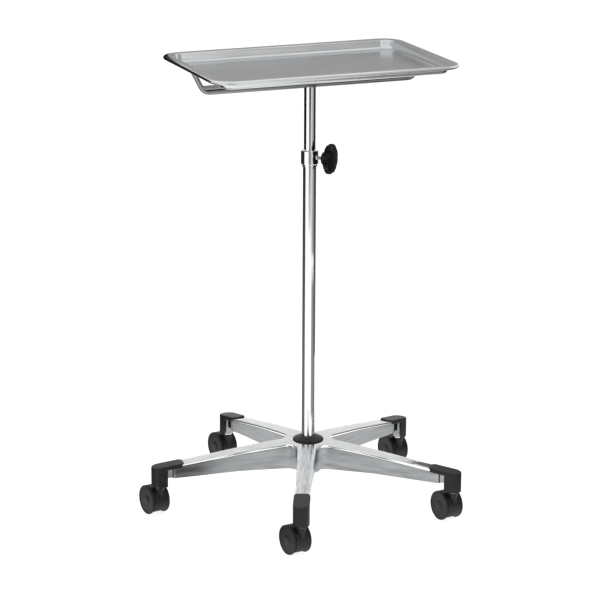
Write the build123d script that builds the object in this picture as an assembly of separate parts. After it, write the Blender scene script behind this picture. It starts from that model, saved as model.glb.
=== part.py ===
from build123d import *
import math
import os

# Mayo instrument stand, millimetres.
# X runs along the long side of the tray, Y towards its back rim and Z up.
# The origin lies on the floor, on the axis of the post.

# Tray, a pressed stainless sheet with a flat rim and a rolled edge
RIM_HEIGHT = 865.0
TRAY_LENGTH = 485.8
TRAY_WIDTH = 320.7
TRAY_DEPTH = 18.5
TRAY_CORNER_RADIUS = 42.0
SHEET = 0.9
CURL_RADIUS = 3.2
RIM_FLAT_WIDTH = 17.0
RIM_BEND_RADIUS = 2.4
WALL_FLARE = 14.0
FLOOR_BEND_RADIUS = 9.0

# Tray frame, chromed steel rod
LOOP_ROD = 6.0
LOOP_INSET = 11.0
REST_GAP = 0.3
SPINE_ROD = 9.0
SPINE_HEIGHT = 816.0
SPINE_BEND_RADIUS = 20.0
ARM_SLOPE = 62.0
ARM_TRIM_HEIGHT = 859.0

# Telescopic post
INNER_TUBE_OD = 22.2
INNER_TUBE_WALL = 1.5
INNER_TUBE_BOTTOM = 190.0
OUTER_TUBE_OD = 25.4
OUTER_TUBE_WALL = 1.2
OUTER_TUBE_BOTTOM = 76.0
OUTER_TUBE_TOP = 690.0
RUNNING_GAP = 0.05
FOOT_BUSH_HEIGHT = 30.0
FOOT_BUSH_LIP = 3.0
GUIDE_BUSH_DEPTH = 26.0

# Clamp at the top of the outer tube
COLLAR_BOTTOM = 667.2
COLLAR_TOP = 694.3
COLLAR_OD = 33.2
COLLAR_STEP_OD = 29.4
COLLAR_STEP_HEIGHT = 3.4
CLAMP_HEIGHT = 679.7
SCREW_RADIUS = 4.0
SCREW_TIP = 13.6
PAD_RADIUS = 3.4
PAD_FACE = INNER_TUBE_OD / 2 + 0.02
KNOB_BOSS_START = 26.0
KNOB_HEAD_START = 34.0
KNOB_HEAD_END = 49.0
KNOB_BOSS_RADIUS = 12.0
KNOB_LOBES = 8
KNOB_LOBE_CIRCLE = 22.0
KNOB_LOBE_RADIUS = 6.9
KNOB_SKIRT_RADIUS = 22.5

# Star base, cast aluminium
LEGS = 5
FIRST_LEG_ANGLE = -42.6
STEM_CIRCLE = 292.0
HUB_TOP = 128.0
HUB_RADIUS = 31.0
HUB_BOSS_RADIUS = 23.0
HUB_BOSS_BOTTOM = 66.0
LEG_FLANGE = 4.0
LEG_FLANGE_OVERHANG = 3.0
LEG_WALL = 3.5
LEG_ROOT_WIDTH = 38.0
LEG_MIDDLE_RADIUS = 125.0
LEG_MIDDLE_WIDTH = 31.0
LEG_TIP_WIDTH = 25.4
LEG_END_RADIUS = 290.0
WEB_END_RADIUS = 268.0
WEB_CORNER_RADIUS = 6.0
NECK_RIB_WIDTH = 11.0
CHANNEL_END_RADIUS = 258.0
ROOT_FILLET = 22.0
RIB_THICKNESS = 3.0
RIB_RADII = (95.0, 150.0, 205.0)
RIB_BOTTOM = 82.0
SOCKET_RADIUS = 12.7
SOCKET_BOTTOM = 61.5
SOCKET_TOP = 92.0

# Leg end caps, moulded plastic
CAP_WALL = 2.2
CAP_OUTER_RADIUS = 15.4
CAP_BOTTOM = 60.0
CAP_SKIRT_START = 278.5
CAP_TONGUE_START = 246.0
CAP_TONGUE_DROP = 8.0
CAP_NOSE_RADIUS = 9.0
CAP_FIT = 0.3

# Post fixing under the hub
PLUG_LENGTH = 24.0
BOLT_RADIUS = 5.0
BOLT_HEAD_RADIUS = 8.5
BOLT_HEAD_HEIGHT = 6.0
WASHER_RADIUS = 12.0
WASHER_THICKNESS = 2.5
RING_RADIUS = 29.3
RING_HEIGHT = 8.5

# Twin wheel casters
WHEEL_RADIUS = 28.0
TREAD_RADIUS = 25.4
WHEEL_WIDTH = 13.6
WHEEL_INNER_FACE = 5.0
WHEEL_TRAIL = 20.0
CASTER_ANGLE = 100.0
AXLE_RADIUS = 4.0
AXLE_LENGTH = 33.0
STEM_RADIUS = 5.5
STEM_TOP = 90.0
STEM_BOTTOM = 46.0
STEM_COLLAR_RADIUS = 9.0
STEM_COLLAR_BOTTOM = 57.4
STEM_COLLAR_HEIGHT = 2.2
HOOD_RADIUS = 28.0
HOOD_SHELL = 1.9
HOOD_HALF_WIDTH = 13.8
HOOD_WEB_HALF = 4.4
HOOD_NECK_RADIUS = 9.8
HOOD_NECK_FOOT = 4.5
HOOD_NECK_BOTTOM = 30.0
HOOD_TOP = 57.0
HOOD_NOTCH_HALF = 5.5

STANDING = (Align.CENTER, Align.CENTER, Align.MIN)

os.makedirs("parts", exist_ok=True)


def half(width):
    return width / 2


def ring(outer, inner, bottom, top):
    """A tube round the post axis, between two heights."""
    body = Cylinder(outer, top - bottom, align=STANDING)
    bore = Cylinder(inner, top - bottom, align=STANDING)
    return Pos(0, 0, bottom) * (body - bore)


def disc(radius, bottom, top):
    """A plain cylinder round the post axis, between two heights."""
    return Pos(0, 0, bottom) * Cylinder(radius, top - bottom, align=STANDING)


def turned(points):
    """A solid turned round the Z axis from radius and height points."""
    return revolve(make_face(Plane.XZ * Polyline(*points, close=True)), Axis.Z)


def along_leg(shape, index):
    """Carries a shape from the X axis onto one leg."""
    return Rot(0, 0, FIRST_LEG_ANGLE + index * 360 / LEGS) * shape


def rounded_rectangle_path(inset, height):
    """The closed centre line that follows the tray outline at an inset."""
    radius = TRAY_CORNER_RADIUS - inset
    outline = RectangleRounded(TRAY_LENGTH - 2 * inset, TRAY_WIDTH - 2 * inset, radius)
    return Pos(0, 0, height) * outline.wire()


def tray_section():
    """Cross-section of curl, flat rim, flared wall and floor bend, on the front side of the tray."""
    flare = math.radians(WALL_FLARE)
    curl_angle = math.radians(60)
    edge = -half(TRAY_WIDTH)
    curl_y = edge + CURL_RADIUS
    curl_z = RIM_HEIGHT - CURL_RADIUS
    curl_in = CURL_RADIUS - SHEET
    tip_out = (curl_y + CURL_RADIUS * math.cos(curl_angle), curl_z - CURL_RADIUS * math.sin(curl_angle))
    tip_in = (curl_y + curl_in * math.cos(curl_angle), curl_z - curl_in * math.sin(curl_angle))
    bend_y = edge + RIM_FLAT_WIDTH
    bend_z = RIM_HEIGHT - RIM_BEND_RADIUS
    bend_in = RIM_BEND_RADIUS - SHEET
    wall_out = (bend_y + RIM_BEND_RADIUS * math.cos(flare), bend_z + RIM_BEND_RADIUS * math.sin(flare))
    wall_in = (bend_y + bend_in * math.cos(flare), bend_z + bend_in * math.sin(flare))
    floor_z = RIM_HEIGHT - TRAY_DEPTH
    centre_z = floor_z + FLOOR_BEND_RADIUS
    inner_radius = FLOOR_BEND_RADIUS - SHEET
    drop = wall_out[1] - (centre_z - inner_radius * math.sin(flare))
    low_in = (wall_out[0] + drop * math.tan(flare), wall_out[1] - drop)
    centre_y = low_in[0] + inner_radius * math.cos(flare)
    low_out = (centre_y - FLOOR_BEND_RADIUS * math.cos(flare), centre_z - FLOOR_BEND_RADIUS * math.sin(flare))
    middle = math.radians(45 + WALL_FLARE / 2)

    def bend_point(radius):
        return (bend_y + radius * math.cos(middle), bend_z + radius * math.sin(middle))

    def floor_point(radius):
        return (centre_y - radius * math.cos(middle), centre_z - radius * math.sin(middle))

    floor_y = centre_y + 1.0
    with BuildSketch(Plane.YZ) as section:
        with BuildLine():
            Line((curl_y, RIM_HEIGHT), (bend_y, RIM_HEIGHT))
            ThreePointArc((bend_y, RIM_HEIGHT), bend_point(RIM_BEND_RADIUS), wall_out)
            Line(wall_out, low_in)
            ThreePointArc(low_in, floor_point(inner_radius), (centre_y, floor_z + SHEET))
            Line((centre_y, floor_z + SHEET), (floor_y, floor_z + SHEET))
            Line((floor_y, floor_z + SHEET), (floor_y, floor_z))
            Line((floor_y, floor_z), (centre_y, floor_z))
            ThreePointArc((centre_y, floor_z), floor_point(FLOOR_BEND_RADIUS), low_out)
            Line(low_out, wall_in)
            ThreePointArc(wall_in, bend_point(bend_in), (bend_y, RIM_HEIGHT - SHEET))
            Line((bend_y, RIM_HEIGHT - SHEET), (curl_y, RIM_HEIGHT - SHEET))
            ThreePointArc((curl_y, RIM_HEIGHT - SHEET), (curl_y - curl_in, curl_z), tip_in)
            Line(tip_in, tip_out)
            ThreePointArc(tip_out, (curl_y - CURL_RADIUS, curl_z), (curl_y, RIM_HEIGHT))
        make_face()
    return section.sketch, floor_y - edge


def instrument_tray():
    """Rim and walls swept round the outline, closed by a flat floor."""
    section, floor_inset = tray_section()
    path = rounded_rectangle_path(0, RIM_HEIGHT)
    walls = sweep(section, path=path)
    floor_z = RIM_HEIGHT - TRAY_DEPTH
    radius = TRAY_CORNER_RADIUS - floor_inset
    plate = RectangleRounded(TRAY_LENGTH - 2 * floor_inset, TRAY_WIDTH - 2 * floor_inset, radius)
    return walls + Pos(0, 0, floor_z) * extrude(plate, SHEET)


def loop_height():
    """Height of the loop's centre line, a hair below the flat rim."""
    return RIM_HEIGHT - SHEET - REST_GAP - half(LOOP_ROD)


def arm_x(height):
    """Distance of an arm's centre line from the post axis, at a height."""
    loop_x = half(TRAY_LENGTH) - LOOP_INSET
    return loop_x - (loop_height() - height) / math.tan(math.radians(ARM_SLOPE))


def support_loop():
    """Closed rod loop that lies under the flat rim of the tray."""
    height = loop_height()
    path = rounded_rectangle_path(LOOP_INSET, height)
    start = Plane(origin=(0, -half(TRAY_WIDTH) + LOOP_INSET, height), z_dir=(1, 0, 0))
    return sweep(start * Circle(half(LOOP_ROD)), path=path)


def spine_rod(loop):
    """Rod along the length of the tray, bent up at both ends to the loop."""
    top = (arm_x(RIM_HEIGHT), RIM_HEIGHT)
    corner = (arm_x(SPINE_HEIGHT), SPINE_HEIGHT)
    line = FilletPolyline((-top[0], top[1]), (-corner[0], corner[1]), corner, top, radius=SPINE_BEND_RADIUS)
    path = Plane.XZ * line
    start = Plane(origin=path @ 0, z_dir=path % 0)
    rod = sweep(start * Circle(half(SPINE_ROD)), path=path)
    rod = split(rod, bisect_by=Plane.XY.offset(ARM_TRIM_HEIGHT), keep=Keep.BOTTOM)
    return rod - loop


def spine_stiffener(spine):
    """Straight rod welded along the top of the spine, between its two arms."""
    height = SPINE_HEIGHT + SPINE_ROD + RUNNING_GAP
    rod = Rot(0, 90, 0) * Cylinder(half(SPINE_ROD), 2 * arm_x(height))
    pieces = Pos(0, 0, height) * rod - spine
    return pieces.solids().sort_by(SortBy.VOLUME)[-1]


def inner_tube(spine):
    """Sliding tube of the post, its top notched to fit the spine rod."""
    outer = half(INNER_TUBE_OD)
    return ring(outer, outer - INNER_TUBE_WALL, INNER_TUBE_BOTTOM, SPINE_HEIGHT) - spine


def tube_top_plug(spine):
    """Steel plug that closes the inner tube and carries the spine weld."""
    radius = half(INNER_TUBE_OD) - INNER_TUBE_WALL
    return disc(radius, SPINE_HEIGHT - 14.0, SPINE_HEIGHT - 1.0) - spine


def foot_bush():
    """Nylon bush on the lower end of the inner tube, which turns on it."""
    bore = half(OUTER_TUBE_OD) - OUTER_TUBE_WALL
    lip = bore - RUNNING_GAP
    spigot = half(INNER_TUBE_OD) - INNER_TUBE_WALL - RUNNING_GAP
    top = INNER_TUBE_BOTTOM + FOOT_BUSH_HEIGHT
    bottom = INNER_TUBE_BOTTOM - 2 * RUNNING_GAP - FOOT_BUSH_LIP
    shoulder = INNER_TUBE_BOTTOM - 2 * RUNNING_GAP
    chamfered = spigot - 1.0
    hollow = spigot - 2.5
    points = [(hollow, bottom), (lip - 0.6, bottom), (lip, bottom + 0.6), (lip, shoulder), (spigot, shoulder)]
    points += [(spigot, top - 1.5), (chamfered, top), (hollow, top)]
    return turned(points)


def outer_tube(screw_hole):
    """Fixed tube of the post, with a side hole for the clamp."""
    outer = half(OUTER_TUBE_OD)
    return ring(outer, outer - OUTER_TUBE_WALL, OUTER_TUBE_BOTTOM, OUTER_TUBE_TOP) - screw_hole


def guide_bush(screw_hole):
    """Flanged sleeve in the mouth of the outer tube that guides the inner tube."""
    bore = half(INNER_TUBE_OD) + RUNNING_GAP
    sleeve = half(OUTER_TUBE_OD) - OUTER_TUBE_WALL
    flange = half(OUTER_TUBE_OD) + 1.2
    bottom = OUTER_TUBE_TOP - GUIDE_BUSH_DEPTH
    rise = 2.4
    points = [(bore, bottom), (sleeve, bottom), (sleeve, OUTER_TUBE_TOP), (flange, OUTER_TUBE_TOP)]
    points += [(flange, OUTER_TUBE_TOP + rise - 0.8), (flange - 0.8, OUTER_TUBE_TOP + rise)]
    points += [(bore, OUTER_TUBE_TOP + rise)]
    return turned(points) - screw_hole


def clamp_collar(screw_bore):
    """Chromed collar with a step below, bored for the tube and the clamp screw."""
    tube = half(OUTER_TUBE_OD)
    rim = half(COLLAR_OD)
    step = half(COLLAR_STEP_OD)
    seat = tube + 1.2
    mouth = half(INNER_TUBE_OD) + 0.6
    cover = OUTER_TUBE_TOP + 2.4
    edge = 1.2
    points = [(tube, COLLAR_BOTTOM - COLLAR_STEP_HEIGHT), (step, COLLAR_BOTTOM - COLLAR_STEP_HEIGHT)]
    points += [(step, COLLAR_BOTTOM), (rim - edge, COLLAR_BOTTOM), (rim, COLLAR_BOTTOM + edge)]
    points += [(rim, COLLAR_TOP - edge), (rim - edge, COLLAR_TOP), (mouth, COLLAR_TOP), (mouth, cover)]
    points += [(seat, cover), (seat, OUTER_TUBE_TOP), (tube, OUTER_TUBE_TOP)]
    return turned(points) - screw_bore


def clamp_axis(start, end, radius):
    """A cylinder on the clamp axis, which lies over the first leg."""
    rod = Rot(0, 90, 0) * Cylinder(radius, end - start, align=STANDING)
    return Rot(0, 0, FIRST_LEG_ANGLE) * (Pos(start, 0, CLAMP_HEIGHT) * rod)


def clamp_pad():
    """Brass pressure pad between the screw and the inner tube."""
    pad = clamp_axis(PAD_FACE - 0.5, SCREW_TIP - RUNNING_GAP, PAD_RADIUS)
    return pad - disc(PAD_FACE, CLAMP_HEIGHT - 2 * PAD_RADIUS, CLAMP_HEIGHT + 2 * PAD_RADIUS)


def clamp_screw():
    """Steel stud moulded into the knob."""
    stud = clamp_axis(SCREW_TIP, KNOB_HEAD_END - 4.0, SCREW_RADIUS - RUNNING_GAP)
    return stud


def knob_blank():
    """Boss and lobed head of the knob, turned about the Z axis."""
    head = KNOB_HEAD_END - KNOB_HEAD_START
    boss = KNOB_HEAD_START - KNOB_BOSS_START
    lobes = Circle(KNOB_SKIRT_RADIUS)
    for index in range(KNOB_LOBES):
        angle = (index + 0.5) * 360 / KNOB_LOBES
        lobes += Rot(0, 0, angle) * (Pos(KNOB_LOBE_CIRCLE, 0) * Circle(KNOB_LOBE_RADIUS))
    body = Pos(0, 0, boss) * extrude(lobes, head)
    tip = KNOB_LOBE_CIRCLE + KNOB_LOBE_RADIUS
    total = boss + head
    dome = [(0, boss - 1), (tip - 5.0, boss), (tip - 1.0, boss + 2.5), (tip + 0.2, boss + 5.5)]
    dome += [(tip + 0.2, total - 6.0), (tip - 1.2, total - 3.2), (tip - 5.0, total - 1.4), (10.0, total), (0, total)]
    body = body & turned(dome)
    neck = [(0, 0), (KNOB_BOSS_RADIUS - 1.0, 0), (KNOB_BOSS_RADIUS, 1.0), (KNOB_BOSS_RADIUS, boss - 2.0)]
    neck += [(KNOB_BOSS_RADIUS + 3.0, boss + 1.0), (0, boss + 1.0)]
    return body + turned(neck)


def clamp_knob():
    """Black hand knob with eight lobes."""
    blind = disc(SCREW_RADIUS - RUNNING_GAP, 0, KNOB_HEAD_END - 4.0 - KNOB_BOSS_START)
    blank = knob_blank() - blind
    placed = Pos(KNOB_BOSS_START, 0, CLAMP_HEIGHT) * (Rot(0, 90, 0) * blank)
    return Rot(0, 0, FIRST_LEG_ANGLE) * placed


def leg_plan(margin, end, corner):
    """Outline of hub and legs from above, smaller by a margin on every side."""
    plan = Circle(HUB_BOSS_RADIUS - margin)
    for index in range(LEGS):
        root = half(LEG_ROOT_WIDTH) - margin
        waist = half(LEG_MIDDLE_WIDTH) - margin
        tip = half(LEG_TIP_WIDTH) - margin
        points = [(0, -root), (LEG_MIDDLE_RADIUS, -waist), (end, -tip)]
        points += [(end, tip), (LEG_MIDDLE_RADIUS, waist), (0, root)]
        plan += Rot(0, 0, FIRST_LEG_ANGLE + index * 360 / LEGS) * make_face(Polyline(*points, close=True))
    crotches = [v for v in plan.vertices() if math.hypot(v.X, v.Y) < 0.4 * LEG_MIDDLE_RADIUS]
    plan = fillet(crotches, ROOT_FILLET)
    if corner > 0:
        tips = [v for v in plan.vertices() if math.hypot(v.X, v.Y) > end - 1]
        plan = fillet(tips, corner)
    return plan


def leg_top_line():
    """Arched upper line of a leg, as radius and height points."""
    return [(0.0, HUB_TOP), (HUB_RADIUS, HUB_TOP), (140.0, 117.0), (250.0, 102.0), (310.0, 94.5)]


def leg_solid(margin, end, corner, upper, lower):
    """Part of the star between two turned surfaces, given as radius and height lines."""
    with BuildSketch(Plane.XZ) as side:
        with BuildLine():
            Polyline(*upper[:2])
            Spline(*upper[1:])
            Line(upper[-1], lower[-1])
            Polyline(*reversed(lower))
            Line(lower[0], upper[0])
        make_face()
    band = revolve(side.sketch, Axis.Z)
    slab = Pos(0, 0, SOCKET_BOTTOM - 10) * extrude(leg_plan(margin, end, corner), HUB_TOP)
    return slab & band


def lowered(points, drop):
    """The same line, a little lower."""
    return [(radius, height - drop) for radius, height in points]


def star_base():
    """One casting: five flanged channel legs with ribs, a hub boss and five caster sockets."""
    top = leg_top_line()
    under = [(0.0, 76.0), (HUB_RADIUS, 77.0), (140.0, 79.0), (310.0, 73.0)]
    flange = leg_solid(0, LEG_END_RADIUS, 0, top, lowered(top, LEG_FLANGE))
    web = leg_solid(LEG_FLANGE_OVERHANG, WEB_END_RADIUS, WEB_CORNER_RADIUS, lowered(top, 1.0), under)
    channel_margin = LEG_FLANGE_OVERHANG + LEG_WALL
    channel = leg_solid(channel_margin, CHANNEL_END_RADIUS, 0, lowered(top, LEG_FLANGE + 1.0), lowered(under, 6.0))
    for index in range(LEGS):
        for radius in RIB_RADII:
            rib = Pos(radius, 0, RIB_BOTTOM) * Box(RIB_THICKNESS, LEG_ROOT_WIDTH, HUB_TOP, align=STANDING)
            channel -= along_leg(rib, index)
    casting = flange + web - channel
    casting += disc(HUB_BOSS_RADIUS, HUB_BOSS_BOTTOM, HUB_TOP - 2.0)
    for index in range(LEGS):
        socket = Pos(STEM_CIRCLE, 0, 0) * disc(SOCKET_RADIUS, SOCKET_BOTTOM, SOCKET_TOP)
        neck = Pos(WEB_END_RADIUS - 4.0, 0, under[-1][1] + 2.0)
        neck *= Box(STEM_CIRCLE - WEB_END_RADIUS, NECK_RIB_WIDTH, 17.0, align=(Align.MIN, Align.CENTER, Align.MIN))
        casting += along_leg(socket + neck, index)
    tube = half(OUTER_TUBE_OD)
    casting -= disc(tube, OUTER_TUBE_BOTTOM, HUB_TOP + 1.0)
    casting -= disc(BOLT_RADIUS + 0.5, HUB_BOSS_BOTTOM - 1.0, OUTER_TUBE_BOTTOM + 1.0)
    for index in range(LEGS):
        bore = Pos(STEM_CIRCLE, 0, 0) * disc(STEM_RADIUS, SOCKET_BOTTOM - 1.0, STEM_TOP)
        casting -= along_leg(bore, index)
    return casting


def cap_block(growth, bottom, start, nose=0.0):
    """Rounded block over a leg tip, from a start radius outwards."""
    radius = CAP_OUTER_RADIUS - CAP_WALL + growth
    plan = Pos(STEM_CIRCLE, 0) * Circle(radius)
    length = STEM_CIRCLE - start
    plan += Pos(start + half(length), 0) * Rectangle(length, 2 * radius)
    if nose > 0:
        plan = fillet([v for v in plan.vertices() if v.X < start + 1], nose)
    return Pos(0, 0, bottom) * extrude(plan, HUB_TOP - bottom)


def cap_roof(rise, edge):
    """Everything under a sloping roof plane with a rounded outer edge."""
    inner = (200.0, 108.6 + rise)
    outer = (STEM_CIRCLE + CAP_OUTER_RADIUS + 5.0, 94.3 + rise)
    floor = 0.0
    profile = Polyline((inner[0], floor), inner, outer, (outer[0], floor), close=True)
    face = make_face(Plane.XZ * profile)
    return extrude(face, edge, both=True)


def leg_end_cap():
    """Cup round the outer half of a leg tip with a tongue along the top of the leg."""
    cup = cap_block(CAP_WALL, CAP_BOTTOM, CAP_SKIRT_START)
    tongue = cap_block(CAP_WALL, 0.0, CAP_TONGUE_START, CAP_NOSE_RADIUS)
    tongue_floor = cap_roof(CAP_WALL - CAP_TONGUE_DROP, 2 * CAP_OUTER_RADIUS)
    tongue = tongue - tongue_floor
    outside = (cup + tongue) & cap_roof(CAP_WALL, 2 * CAP_OUTER_RADIUS)
    rims = outside.edges().filter_by(lambda e: e.center().Z > 92.0 and abs(e.center().Y) > 5.0)
    tips = outside.edges().filter_by(lambda e: e.center().X > STEM_CIRCLE + 8.0 and e.center().Z > 92.0)
    outside = fillet(ShapeList(set(rims + tips)), 1.5)
    inside = cap_block(CAP_FIT, 0.0, CAP_TONGUE_START - 10.0) & cap_roof(CAP_FIT, 2 * CAP_OUTER_RADIUS)
    return outside - inside


def hub_trim_ring():
    """Low conical plastic ring that hides the joint of tube and hub."""
    tube = half(OUTER_TUBE_OD) + CAP_FIT
    bottom = HUB_TOP
    top = HUB_TOP + RING_HEIGHT
    points = [(tube, bottom), (RING_RADIUS, bottom), (RING_RADIUS, bottom + 1.6), (RING_RADIUS - 1.2, bottom + 2.8)]
    points += [(tube + 2.6, top), (tube, top)]
    return turned(points)


def post_anchor_plug():
    """Threaded steel plug welded in the lower end of the outer tube."""
    radius = half(OUTER_TUBE_OD) - OUTER_TUBE_WALL
    return ring(radius, BOLT_RADIUS, OUTER_TUBE_BOTTOM, OUTER_TUBE_BOTTOM + PLUG_LENGTH - 6.0)


def post_washer():
    """Washer under the hub boss."""
    return ring(WASHER_RADIUS, BOLT_RADIUS + 0.5, HUB_BOSS_BOTTOM - WASHER_THICKNESS, HUB_BOSS_BOTTOM)


def post_bolt():
    """Hexagon bolt that draws the post down into the hub."""
    head_top = HUB_BOSS_BOTTOM - WASHER_THICKNESS
    head_bottom = head_top - BOLT_HEAD_HEIGHT
    head = Pos(0, 0, head_bottom) * extrude(RegularPolygon(BOLT_HEAD_RADIUS, 6, major_radius=False), BOLT_HEAD_HEIGHT)
    crown = turned([(0, head_bottom), (BOLT_HEAD_RADIUS - 0.6, head_bottom), (BOLT_HEAD_RADIUS + 1.6, head_bottom + 1.4),
                    (BOLT_HEAD_RADIUS + 1.6, head_top), (0, head_top)])
    return (head & crown) + disc(BOLT_RADIUS, head_top, OUTER_TUBE_BOTTOM + PLUG_LENGTH - 8.0)


def caster_place(shape, index):
    """Carries a shape from the caster frame, with the stem on Z and the trail along X, to one leg."""
    angle = math.radians(FIRST_LEG_ANGLE + index * 360 / LEGS)
    spot = Pos(STEM_CIRCLE * math.cos(angle), STEM_CIRCLE * math.sin(angle), 0)
    return spot * (Rot(0, 0, CASTER_ANGLE) * shape)


def crosswise(radius, start, end):
    """Cylinder across a caster, on the wheel axis."""
    rod = Rot(-90, 0, 0) * Cylinder(radius, end - start, align=STANDING)
    return Pos(WHEEL_TRAIL, start, WHEEL_RADIUS) * rod


def caster_hood():
    """Moulded hood: an arched shell over both wheels, a middle web and the stem neck."""
    drum = crosswise(HOOD_RADIUS, -HOOD_HALF_WIDTH, HOOD_HALF_WIDTH)
    room = HOOD_RADIUS - HOOD_SHELL
    for side in (-1, 1):
        near = side * HOOD_WEB_HALF
        far = side * (HOOD_HALF_WIDTH + 1.0)
        drum -= crosswise(room, min(near, far), max(near, far))
    lip = HOOD_RADIUS + 2.0
    tail = Pos(WHEEL_TRAIL, 0, WHEEL_RADIUS) * (Rot(0, 28, 0) * Box(2 * lip, 60, 2 * lip, align=(Align.MIN, Align.CENTER, Align.MAX)))
    toe = Box(4 * lip, 60, 9.0, align=STANDING)
    rear = Pos(WHEEL_TRAIL + 14.0, 0, 0) * Box(lip, 60, WHEEL_RADIUS, align=(Align.MIN, Align.CENTER, Align.MIN))
    rise = HOOD_TOP - HOOD_NECK_BOTTOM
    neck = Pos(0, 0, HOOD_NECK_BOTTOM) * Cone(HOOD_NECK_FOOT, HOOD_NECK_RADIUS, rise, align=STANDING)
    shoulder = Pos(4.0, 0, 34.0) * Box(22.0, 2 * HOOD_WEB_HALF, 16.0, align=STANDING)
    body = drum - tail - toe - rear
    for side in (-1, 1):
        near = side * HOOD_WEB_HALF
        far = side * (HOOD_HALF_WIDTH + 1.0)
        neck -= crosswise(room, min(near, far), max(near, far))
    body = body + neck + shoulder
    notch = Pos(-12.0, 0, 0) * Box(14.0, 2 * HOOD_NOTCH_HALF, 15.0, align=STANDING)
    body -= notch
    body -= disc(STEM_RADIUS + RUNNING_GAP, STEM_BOTTOM - 1.0, HOOD_TOP + 1.0)
    return body - crosswise(AXLE_RADIUS, -HOOD_HALF_WIDTH, HOOD_HALF_WIDTH)


def caster_axle():
    """Steel pin through the hood web and both wheels."""
    return crosswise(AXLE_RADIUS, -half(AXLE_LENGTH), half(AXLE_LENGTH))


def caster_wheel(side):
    """Wheel with a tread under the hood and a wider disc with a raised rim outside it."""
    inner = WHEEL_INNER_FACE
    outer = WHEEL_INNER_FACE + WHEEL_WIDTH
    step = HOOD_HALF_WIDTH + 0.4
    bore = AXLE_RADIUS + RUNNING_GAP
    pocket = half(AXLE_LENGTH) + 0.4
    rim = WHEEL_RADIUS
    tread = TREAD_RADIUS
    points = [(bore, inner), (tread - 3.0, inner), (tread - 0.6, inner + 1.4), (tread, inner + 3.0)]
    points += [(tread, step), (rim - 0.6, step), (rim, step + 0.6)]
    points += [(rim, outer - 1.2), (rim - 0.4, outer - 0.4), (rim - 1.2, outer), (rim - 2.6, outer)]
    points += [(rim - 3.4, outer - 0.9), (9.4, outer - 1.2), (8.4, outer - 0.4), (7.4, outer), (0, outer)]
    points += [(0, pocket), (bore, pocket)]
    wheel = Rot(-90, 0, 0) * turned(points)
    if side < 0:
        wheel = Rot(0, 0, 180) * wheel
    return Pos(WHEEL_TRAIL, 0, WHEEL_RADIUS) * wheel


def caster_stem():
    """Grip stem: shank in the leg socket, collar, and lower journal that the hood turns on."""
    groove = STEM_RADIUS - 0.8
    collar_top = STEM_COLLAR_BOTTOM + STEM_COLLAR_HEIGHT
    points = [(0, STEM_BOTTOM), (STEM_RADIUS - 0.8, STEM_BOTTOM), (STEM_RADIUS, STEM_BOTTOM + 0.8)]
    points += [(STEM_RADIUS, STEM_COLLAR_BOTTOM), (STEM_COLLAR_RADIUS, STEM_COLLAR_BOTTOM)]
    points += [(STEM_COLLAR_RADIUS, collar_top), (STEM_RADIUS, collar_top), (STEM_RADIUS, STEM_TOP - 8.0)]
    points += [(groove, STEM_TOP - 8.0), (groove, STEM_TOP - 4.0), (STEM_RADIUS, STEM_TOP - 4.0)]
    points += [(STEM_RADIUS, STEM_TOP - 1.0), (STEM_RADIUS - 1.0, STEM_TOP), (0, STEM_TOP)]
    return turned(points)


def write(name, shape):
    """Writes one sub-part to its own file."""
    shape.label = name
    export_step(shape, f"parts/{name}.step")


def main():
    loop = support_loop()
    spine = spine_rod(loop)
    write("instrument_tray", instrument_tray())
    write("tray_support_loop", loop)
    write("tray_spine_rod", spine)
    write("tray_spine_stiffener", spine_stiffener(spine))
    write("tube_top_plug", tube_top_plug(spine))
    write("inner_tube", inner_tube(spine))
    write("inner_tube_foot_bush", foot_bush())

    pad_hole = clamp_axis(half(OUTER_TUBE_OD) - 3.0, half(OUTER_TUBE_OD) + 3.0, SCREW_RADIUS)
    screw_bore = clamp_axis(half(OUTER_TUBE_OD) - 1.0, COLLAR_OD, SCREW_RADIUS)
    write("outer_tube", outer_tube(pad_hole))
    write("guide_bush", guide_bush(pad_hole))
    write("clamp_collar", clamp_collar(screw_bore))
    write("clamp_pad", clamp_pad())
    write("clamp_screw", clamp_screw())
    write("clamp_knob", clamp_knob())

    write("star_base", star_base())
    write("hub_trim_ring", hub_trim_ring())
    write("post_anchor_plug", post_anchor_plug())
    write("post_washer", post_washer())
    write("post_bolt", post_bolt())

    cap = leg_end_cap()
    hood = caster_hood()
    axle = caster_axle()
    stem = caster_stem()
    left_wheel = caster_wheel(1)
    right_wheel = caster_wheel(-1)
    for index in range(LEGS):
        number = index + 1
        write(f"leg_end_cap_{number}", along_leg(cap, index))
        write(f"caster_stem_{number}", caster_place(stem, index))
        write(f"caster_hood_{number}", caster_place(hood, index))
        write(f"caster_axle_{number}", caster_place(axle, index))
        write(f"caster_wheel_left_{number}", caster_place(left_wheel, index))
        write(f"caster_wheel_right_{number}", caster_place(right_wheel, index))


main()
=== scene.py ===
import logging
import math
from dataclasses import dataclass, field
from enum import Enum

import bpy
from mathutils import Matrix, Vector


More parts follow.
